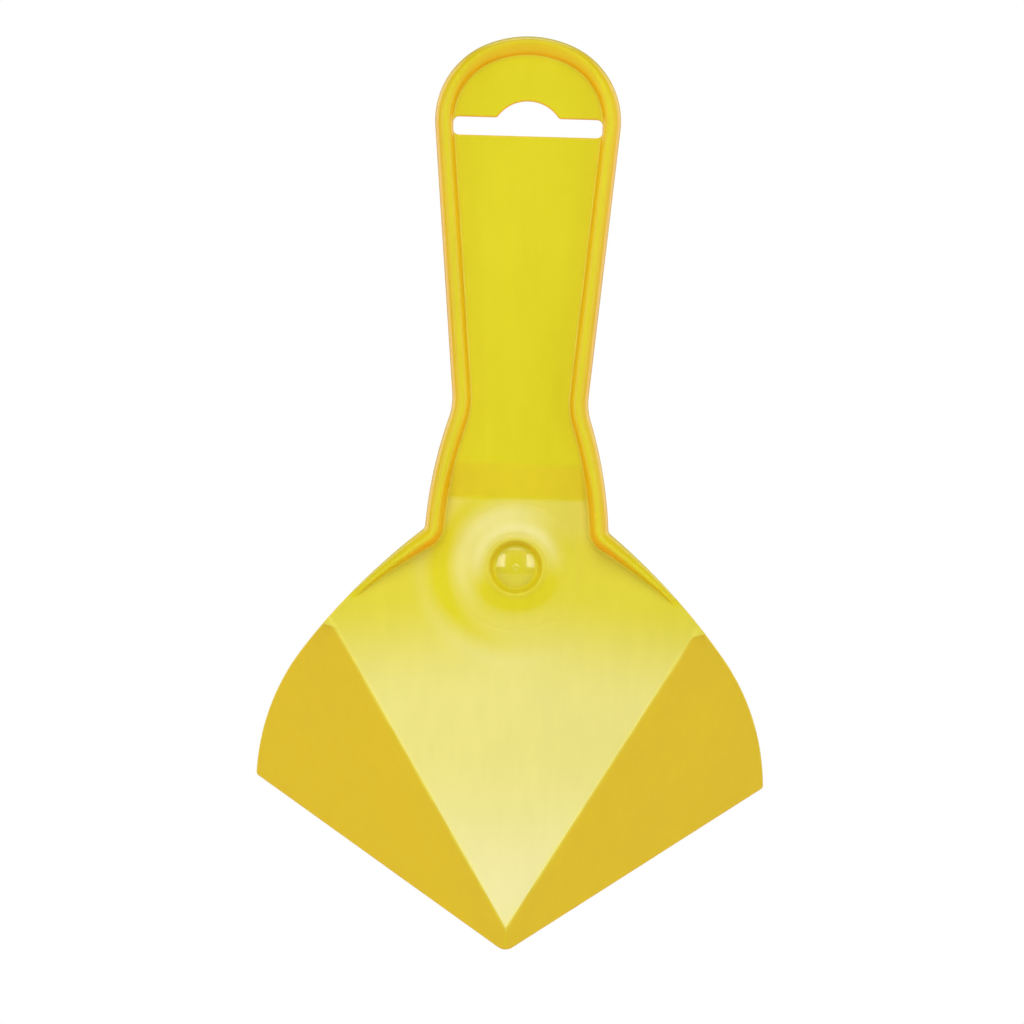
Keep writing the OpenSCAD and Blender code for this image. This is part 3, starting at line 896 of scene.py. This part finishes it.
# The panel: lines run out from the gate boss to the panel's border, which is the ramp's
# foot, the bead's foot, the free upper edge, the wing's top edge and the crease. Along the
# upper edge they run on across a strip as wide as the rib's end
def panelGrids():
    foot = feet[centreIndex + marks["below"][0] : centreIndex + rightCount]
    upper, upperInward = freeEdge["upper"]
    radius = fold["edgeRadius"]
    slant = slanted(upper, upperInward, -topWay)
    strip = upper + slant * bead["endWidth"]
    strip[0] = foot[-1]

    def border(start, end, step=panel["borderStep"]):
        return linePoints(start, end, np.zeros(2), step)[0]

    topLine = border(np.array([0, ramp["base"]]), foot[0])
    wingTop = border(strip[-1], creaseTop, panel["wingTopStep"])
    crease = border(creaseTop, np.array([0, fold["height"]]))
    # Behind, the crease lies further in
    topShare = np.linspace(0, 1, len(wingTop))[:, None]
    creaseShare = np.linspace(0, 1, len(crease))[:, None]
    wingTopBack = mix(strip[-1], creaseTopBack, topShare)
    creaseBack = mix(creaseTopBack, meetingBack, creaseShare)
    shared = [topLine, foot[1:], strip]
    borders = [
        np.concatenate(shared + [wingTop, crease[1:]]),
        np.concatenate(shared + [wingTopBack, creaseBack[1:]]),
    ]
    onStrip = len(topLine) + len(foot) - 1 + np.arange(len(strip))
    free, stripTo, outward, shift = (np.zeros((len(borders[0]), k)) for k in (1, 2, 2, 2))
    free[onStrip], outward[onStrip], shift[onStrip] = 1, -upperInward, -slant
    stripTo[onStrip] = -slant * (bead["endWidth"] - radius)
    steps = np.linspace(0, 1, panel["rings"])[None, :]
    stripSteps = np.linspace(0, 1, panel["stripSteps"])[1:, None]
    middle = np.array([0, gate["height"]])
    plans = []
    for line in borders:
        size = np.linalg.norm(line - middle, axis=1, keepdims=True)
        span = size - gate["radius"]
        close = np.minimum(panel["closeReach"], span * panel["closeShare"])
        atEdge = span - np.minimum(panel["atEdge"], span * panel["atEdgeShare"])
        lastRings = mix(atEdge, span, np.array(panel["edgeShares"])[None, :])
        rings = np.concatenate([close * steps[:, :-1], mix(close, atEdge, steps), lastRings], 1)
        plan = middle + ((line - middle) / size)[:, None, :] * (gate["radius"] + rings)[..., None]
        plan[:, -1] = line
        strips = line[:, None, :] + stripTo[:, None, :] * stripSteps
        plan = np.concatenate([plan, strips], 1)
        plans.append(np.concatenate([plan, plan[-2::-1] * mirrorX]))
    outward, shift = (np.concatenate([v, v[-2::-1] * mirrorX]) for v in (outward, shift))
    radius = radius * np.concatenate([free, free[-2::-1]])[:, 0]
    return slab(*plans, frontLevel, backLevel, outward, radius, shift, cyclic=True)


# A wing: lines run from the crease, and from the ridge below it, out to the free edge
def wingGrids(side):
    free = [(k, freeEdge[k]) for k in ("wingTop", "wing", "corner", "lower", "tip")]
    edge, inward, _ = joined(free)
    length = lengthAlong(edge)
    share = (length / length[-1])[:, None]
    inner = mix(creaseTop, np.array([0, fold["height"]]), share)
    innerBack = mix(creaseTopBack, meetingBack, share)
    radius = np.full(len(edge), fold["edgeRadius"])
    slant = slanted(edge, inward, -topWay)
    start = (edge + slant * radius[:, None])[:, None, :]
    middleShares = np.linspace(*wing["middleShares"])
    shares = np.concatenate([wing["creaseShares"], middleShares, wing["edgeShares"]])
    plans = [mix(line[:, None, :], start, shares[None, :, None]) for line in (inner, innerBack)]
    if side < 0:
        plans = [plan * mirrorX for plan in plans]
        inward, slant = inward * mirrorX, slant * mirrorX
    return slab(*plans, wingFront, wingBack, -inward, radius, -slant)


# The gate boss: rings from the middle of the button out to the boss's edge, and a pad behind
def bossGrids():
    turns = np.linspace(0, 2 * math.pi, gate["turns"])
    out = np.stack([np.cos(turns), np.sin(turns)], -1)
    middle = np.array([0, gate["height"]])
    radii = np.concatenate([[0]] + [np.linspace(*span) for span in gate["rings"]])
    plan = middle + out[:, None, :] * radii[None, :, None]
    frontPoints = raised(plan, frontLevel(plan[..., 0], plan[..., 1]))
    edge, flatEnd = gate["padEdge"], gate["radius"] - gate["padEdge"]
    turn = np.linspace(0, math.pi / 2, gate["padSteps"])[1:]
    flat = np.linspace(0, flatEnd, gate["padRings"])
    tilt = np.concatenate([np.zeros(gate["padRings"]), turn])
    padRadii = np.concatenate([flat, flatEnd + edge * np.sin(turn)])
    planBack = middle + out[:, None, :] * padRadii[None, :, None]
    padLevel = panelHigh[1] + gate["pad"] - edge * (1 - np.cos(tilt))
    backPoints = raised(planBack, np.broadcast_to(padLevel, planBack.shape[:2]))
    away = raised(out)
    tilts = tilt[None, :, None]
    backNormals = away[:, None, :] * np.sin(tilts) + np.array([0, 1.0, 0]) * np.cos(tilts)
    return [
        (frontPoints, levelNormal(frontLevel, plan, -1), 0.0),
        (backPoints, backNormals, 0.0),
        wallBetween(frontPoints[:, -1], backPoints[:, -1], away),
    ]


pieces["blade_panel"] = panelGrids()
pieces["gate_boss"] = bossGrids()
pieces["right_wing"] = wingGrids(1)
pieces["left_wing"] = wingGrids(-1)
print("blade: panel, boss and two wings")


# The yellow plastic. Colours are linear: amber is the painted shade's colour, sheen the painted
# sheen's and edge the painted edge highlight's; mottle says how much the streaks lighten it
plastic = {
    "yellow": (0.650, 0.568, 0.001, 1),
    "amber": (0.880, 0.395, 0.003, 1),
    "sheen": (0.800, 0.740, 0.330, 1),
    "edge": (0.860, 0.780, 0.110, 1),
    "mottle": 0.07,
    "specular": 0.35,
    "scratches": 1.0,
    "bumpDistance": 0.002,
}
# The finish of each kind of piece: how strongly the painted shade, painted sheen and painted edge
# highlight masks act, its roughness, the scale of its flow streaks, and its bump
finishes = {
    "web": (0.9, 0.0, 0.25, 0.36, 40, 0.05),
    "ramp": (0.8, 0.0, 0.25, 0.34, 55, 0.05),
    "rim": (0.68, 0.0, 0.35, 0.3, 70, 0.04),
    "panel": (0.8, 1.0, 0.5, 0.38, 28, 0.06),
    "gate": (0.22, 1.0, 0.2, 0.3, 60, 0.02),
    "wing": (0.46, 0.0, 0.5, 0.42, 28, 0.06),
}
coats = {"gate": {"Coat Roughness": 0.07, "Coat IOR": 1.5}}


# A node with its settings, and its inputs given as values or as other nodes' outputs
def addNode(tree, kind, inputs=None, **settings):
    item = tree.nodes.new("ShaderNode" + kind)
    for key, value in settings.items():
        setattr(item, key, value)
    for key, value in (inputs or {}).items():
        if isinstance(value, bpy.types.NodeSocket):
            tree.links.new(value, item.inputs[key])
        else:
            item.inputs[key].default_value = value
    return item


def combine(tree, kind, first, second, clamp=False):
    inputs = {0: first, 1: second}
    return addNode(tree, "Math", inputs, operation=kind, use_clamp=clamp).outputs[0]


# The sum of values, each times its own factor
def weighted(tree, *pairs):
    terms = [combine(tree, "MULTIPLY", value, factor) for value, factor in pairs]
    total = terms[0]
    for term in terms[1:]:
        total = combine(tree, "ADD", total, term)
    return total


# How far a value has come from low to high, 0 to 1
def stretched(tree, value, low, high):
    ends = {"Value": value, "From Min": low, "From Max": high}
    return addNode(tree, "MapRange", ends).outputs[0]


def blendColours(tree, share, first, second):
    inputs = {"Factor": share, "A": first, "B": second}
    return addNode(tree, "Mix", inputs, data_type="RGBA").outputs["Result"]


def maskOf(tree, name):
    return addNode(tree, "Attribute", attribute_name=name).outputs["Fac"]


# A new group, its inputs' values and its outputs' sockets
def newGroup(name, inputs, outputs):
    group = bpy.data.node_groups.new(name, "ShaderNodeTree")
    for way, labels in (("INPUT", inputs), ("OUTPUT", outputs)):
        for label in labels:
            kind = "NodeSocketColor" if label in colourSockets else "NodeSocketFloat"
            group.interface.new_socket(name=label, in_out=way, socket_type=kind)
    given = group.nodes.new("NodeGroupInput").outputs
    return group, given, group.nodes.new("NodeGroupOutput").inputs


colourSockets = ("Yellow", "Amber", "Sheen", "Edge", "Color")
even = (1.0, 1.0, 1.0)


# Noise on the object's own coordinates, drawn out or squeezed along its axes
def noiseOn(tree, stretch, scale, detail, turn=0.0):
    place = addNode(tree, "TexCoord").outputs["Object"]
    turned = {"Vector": place, "Rotation": (0, turn, 0), "Scale": stretch}
    mapped = addNode(tree, "Mapping", turned).outputs[0]
    noise = {"Vector": mapped, "Scale": scale, "Detail": detail}
    return addNode(tree, "TexNoise", noise).outputs[0]


flow = {
    "broadStretch": (1.0, 1.0, 0.45),
    "fineStretch": (1.0, 1.0, 0.3),
    "fineScale": 420.0,
    "fineShare": 0.25,
    "range": (0.36, 0.64),
}


# Cloudy streaks left by the flow of the plastic along the tool, 0 to 1
def flowStreaks():
    group, given, result = newGroup("flowStreaks", ["Scale"], ["Streaks"])
    broad = noiseOn(group, flow["broadStretch"], given["Scale"], 3.0)
    fine = noiseOn(group, flow["fineStretch"], flow["fineScale"], 2.0)
    both = weighted(group, (broad, 1 - flow["fineShare"]), (fine, flow["fineShare"]))
    group.links.new(stretched(group, both, *flow["range"]), result["Streaks"])
    return group


scratch = {
    "turnsAndScales": ((0.35, 60.0), (-0.9, 75.0)),
    "stretch": (30.0, 30.0, 1.0),
    "lineRange": (0.66, 0.72),
    "patchScale": 45.0,
    "patchRange": (0.5, 0.62),
}


# Fine scratches in two directions, thin where drawn-out noise peaks, 0 to 1
def fineScratches():
    group, given, result = newGroup("fineScratches", ["Amount"], ["Scratches"])
    lines = []
    for turn, scale in scratch["turnsAndScales"]:
        line = noiseOn(group, scratch["stretch"], scale, 1.0, turn)
        patch = noiseOn(group, even, scratch["patchScale"], 1.0, turn)
        line = stretched(group, line, *scratch["lineRange"])
        where = stretched(group, patch, *scratch["patchRange"])
        lines.append(combine(group, "MULTIPLY", line, where))
    both = combine(group, "MAXIMUM", *lines)
    group.links.new(combine(group, "MULTIPLY", both, given["Amount"]), result["Scratches"])
    return group


# Noise that breaks up the painted edge highlight
highlightNoise = {"scale": 160.0, "range": (0.25, 0.6)}


# Painted highlight on edges and creases: the piece's edge highlight mask broken up by noise, 0 to
# 1
def paintedEdgeHighlight():
    group, given, result = newGroup("paintedEdgeHighlight", ["Strength"], ["EdgeHighlight"])
    noise = stretched(group, noiseOn(group, even, highlightNoise["scale"], 2.0), *highlightNoise["range"])
    highlighted = combine(group, "MULTIPLY", maskOf(group, "edge_highlight"), noise)
    group.links.new(combine(group, "MULTIPLY", highlighted, given["Strength"], True), result["EdgeHighlight"])
    return group


# Colour with painted light: yellow, amber where the painted shade mask lies, a pale sheen where
# the painted sheen mask lies, lightened a little by the streaks and by painted edge highlights
def paintedLightColour():
    labels = ["Yellow", "Amber", "Sheen", "Edge", "Depth", "SheenAmount", "Streaks", "EdgeHighlight"]
    group, given, result = newGroup("paintedLightColour", labels, ["Color"])
    painted_shade = combine(group, "MULTIPLY", maskOf(group, "painted_shade"), given["Depth"], True)
    painted_sheen = combine(group, "MULTIPLY", maskOf(group, "painted_sheen"), given["SheenAmount"], True)
    wave = combine(group, "SUBTRACT", given["Streaks"], 0.5)
    level = combine(group, "ADD", combine(group, "MULTIPLY", wave, plastic["mottle"]), 1.0)
    body = blendColours(group, painted_shade, given["Yellow"], given["Amber"])
    body = blendColours(group, painted_sheen, body, given["Sheen"])
    body = blendColours(group, given["EdgeHighlight"], body, given["Edge"])
    scaled = addNode(group, "VectorMath", {0: body, "Scale": level}, operation="SCALE")
    group.links.new(scaled.outputs[0], result["Color"])
    return group


grain = {
    "sinkStretch": (1.0, 1.0, 0.6),
    "sinkScale": 90.0,
    "scale": 2600.0,
    "height": 0.06,
    "scratchDepth": 0.15,
    "streakRoughness": 0.08,
    "scratchRoughness": 0.2,
}


# Height of the surface in sink marks and a fine moulded grain, and how much rougher it is
def mouldGrain():
    labels = ["Streaks", "Scratches", "Roughness"]
    group, given, result = newGroup("mouldGrain", labels, ["Height", "Roughness"])
    sink = noiseOn(group, grain["sinkStretch"], grain["sinkScale"], 1.0)
    fine = noiseOn(group, even, grain["scale"], 1.0)
    scratches = given["Scratches"]
    heights = ((sink, 1.0), (fine, grain["height"]), (scratches, -grain["scratchDepth"]))
    rougher = (
        (given["Roughness"], 1.0),
        (given["Streaks"], grain["streakRoughness"]),
        (scratches, grain["scratchRoughness"]),
    )
    group.links.new(weighted(group, *heights), result["Height"])
    group.links.new(weighted(group, *rougher), result["Roughness"])
    return group


builders = (flowStreaks, fineScratches, paintedEdgeHighlight, paintedLightColour, mouldGrain)
groups = {build.__name__: build() for build in builders}


def placeGroup(tree, name, inputs):
    return addNode(tree, "Group", inputs, node_tree=groups[name]).outputs


def plasticMaterial(name):
    painted_shade, painted_sheen, edge_highlight, roughness, waves, strength = finishes[name]
    material = bpy.data.materials.new("yellow_" + name)
    material.use_nodes = True
    tree = material.node_tree
    shader = tree.nodes["Principled BSDF"]
    streaks = placeGroup(tree, "flowStreaks", {"Scale": waves})["Streaks"]
    scratches = placeGroup(tree, "fineScratches", {"Amount": plastic["scratches"]})["Scratches"]
    # Inputs of the colour group: the colours and strengths of the painted shade, painted sheen and
    # painted edge highlight
    depth = {key: plastic[key.lower()] for key in ("Yellow", "Amber", "Sheen", "Edge")}
    depth.update({"Depth": painted_shade, "SheenAmount": painted_sheen, "Streaks": streaks})
    depth["EdgeHighlight"] = placeGroup(tree, "paintedEdgeHighlight", {"Strength": edge_highlight})["EdgeHighlight"]
    colour = placeGroup(tree, "paintedLightColour", depth)["Color"]
    marked = {"Streaks": streaks, "Scratches": scratches, "Roughness": roughness}
    surface = placeGroup(tree, "mouldGrain", marked)
    bumped = {"Height": surface["Height"], "Strength": strength}
    bump = addNode(tree, "Bump", {**bumped, "Distance": plastic["bumpDistance"]})
    tree.links.new(colour, shader.inputs["Base Color"])
    tree.links.new(surface["Roughness"], shader.inputs["Roughness"])
    tree.links.new(bump.outputs[0], shader.inputs["Normal"])
    shader.inputs["Specular IOR Level"].default_value = plastic["specular"]
    if name in coats:
        tree.links.new(maskOf(tree, "gloss"), shader.inputs["Coat Weight"])
        for key, value in coats[name].items():
            shader.inputs[key].default_value = value
    return material


materials = {name: plasticMaterial(name) for name in finishes}
print("materials: %d finishes from %d shared groups" % (len(materials), len(groups)))


# The finish whose word is in a node's name, or the rim's
def finishOf(node):
    return next((made for word, made in materials.items() if word in node), materials["rim"])


for node, grids in pieces.items():
    mesh = meshPiece("moulded_" + node, grids)
    mesh.materials.append(finishOf(node))
    piece = bpy.data.objects.new("moulded_" + node, mesh)
    bpy.context.scene.collection.objects.link(piece)
    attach(piece, "root")
    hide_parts(node)
    print("piece %s: %d faces" % (node, len(mesh.polygons)))

# Studio: a pale floor well below, soft lights and the camera
studio = {
    "distance": 3.0,
    "viewWidth": 0.2197,
    "centre": (-0.00112, -0.0826),
    "lean": math.radians(1.59),
    "sensor": 36,
    "clipEnd": 20,
    "floorDrop": 0.17,
    "floorRadius": 1.2,
    "floorSides": 96,
    "floorColour": (0.82, 0.82, 0.8, 1),
    "floorRoughness": 0.8,
    "worldLight": 0.22,  # how bright the white world is as a light; it looks plain white
    "aim": (0, 0, -0.08),
}
# Place, size and power of each soft light; a left one has a twin on the right
softboxes = {
    "key": ((0.0, -1.1, 1.0), (1.2, 0.8), 10.1),
    "left_box": ((-0.55, -1.1, 0.15), (0.3, 0.5), 2.5),
    "left_side": ((-1.2, -0.5, -0.05), (0.5, 0.8), 3.6),
    "back_top": ((0.0, 0.85, 1.2), (1.0, 0.7), 5.5),
    "back_left": ((-1.1, 0.9, 0.3), (0.9, 1.2), 7),
}


def addFloor():
    turns = np.linspace(0, 2 * math.pi, studio["floorSides"], endpoint=False)
    level = cadBounds[0][2] - studio["floorDrop"]
    ring = np.stack([np.cos(turns), np.sin(turns)], -1) * studio["floorRadius"]
    mesh = bpy.data.meshes.new("floor")
    mesh.from_pydata([(x, y, level) for x, y in ring.tolist()], [], [list(range(len(ring)))])
    material = bpy.data.materials.new("pale_floor")
    material.use_nodes = True
    inputs = material.node_tree.nodes["Principled BSDF"].inputs
    inputs["Base Color"].default_value = studio["floorColour"]
    inputs["Roughness"].default_value = studio["floorRoughness"]
    mesh.materials.append(material)
    floor = bpy.data.objects.new("floor", mesh)
    bpy.context.scene.collection.objects.link(floor)


# Puts a light or the camera at a place, looking against back, with its right and up ways
def addLooking(name, data, place, right, up, back):
    item = bpy.data.objects.new(name, data)
    rows = [[right[k], up[k], back[k], place[k]] for k in range(3)]
    item.matrix_world = Matrix(rows + [[0, 0, 0, 1]])
    bpy.context.scene.collection.objects.link(item)
    return item


def addSoftbox(name, place, size, power):
    light = bpy.data.lights.new(name, "AREA")
    light.shape = "RECTANGLE"
    light.size, light.size_y = size
    light.energy = power
    back = unit(np.array(place) - np.array(studio["aim"]))
    right = unit(np.cross([0, 0, 1], back))
    addLooking(name, light, place, right, np.cross(back, right), back)


def addWorld():
    world = bpy.data.worlds.new("studio")
    bpy.context.scene.world = world
    world.use_nodes = True
    tree = world.node_tree
    tree.nodes.clear()
    dim, white = (
        addNode(tree, "Background", {"Color": (1, 1, 1, 1), "Strength": strength}).outputs[0]
        for strength in (studio["worldLight"], 1.0)
    )
    seen = addNode(tree, "LightPath").outputs["Is Camera Ray"]
    choose = addNode(tree, "MixShader", {0: seen, 1: dim, 2: white}).outputs[0]
    addNode(tree, "OutputWorld", {"Surface": choose})


def addCamera():
    camera = bpy.data.cameras.new("camera")
    camera.sensor_width = studio["sensor"]
    camera.lens = studio["sensor"] * studio["distance"] / studio["viewWidth"]
    camera.clip_end = studio["clipEnd"]
    lean = studio["lean"]
    right = (math.cos(lean), 0, math.sin(lean))
    up = (-math.sin(lean), 0, math.cos(lean))
    place = (studio["centre"][0], -studio["distance"], studio["centre"][1])
    bpy.context.scene.camera = addLooking("camera", camera, place, right, up, (0, -1, 0))


addFloor()
addWorld()
for name, (place, size, power) in softboxes.items():
    addSoftbox(name, place, size, power)
    if "left" in name:
        addSoftbox(name.replace("left", "right"), (-place[0], *place[1:]), size, power)
addCamera()
bpy.context.scene.view_settings.view_transform = "Standard"
print("studio: floor, lights and camera")
